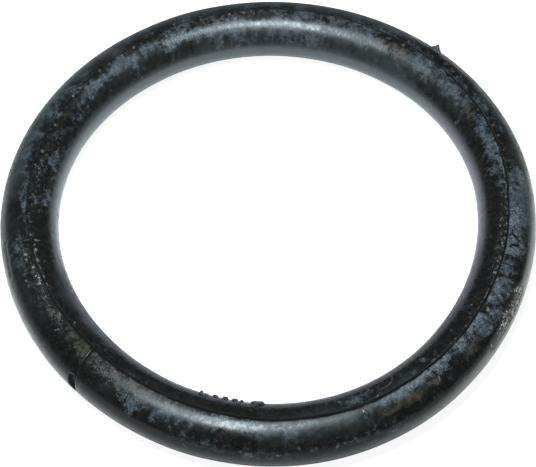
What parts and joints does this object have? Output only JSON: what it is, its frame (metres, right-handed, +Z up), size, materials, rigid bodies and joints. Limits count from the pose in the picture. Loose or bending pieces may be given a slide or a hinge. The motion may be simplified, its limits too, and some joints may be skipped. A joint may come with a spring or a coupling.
{
  "type": "rubber o-ring",
  "caption": "Used round-section sealing ring of black rubber, lying flat, with a moulding seam on its crown, a splice line and torn flash.",
  "frame": {"origin": "on the ring's axis, in the plane that the ring rests on", "axes": "+Z up along the ring's axis; +X towards azimuth 0; the splice line is at azimuth 225 degrees, counter-clockwise seen from above"},
  "size_m": [0.0493, 0.0492, 0.0053],
  "materials": {
    "rubber": "satin black nitrile with blue-grey bloom, brown dirt and light scuffs along the crown"
  },
  "bodies": {
    "root": {"o_ring": "rubber"}
  },
  "joints": []
}
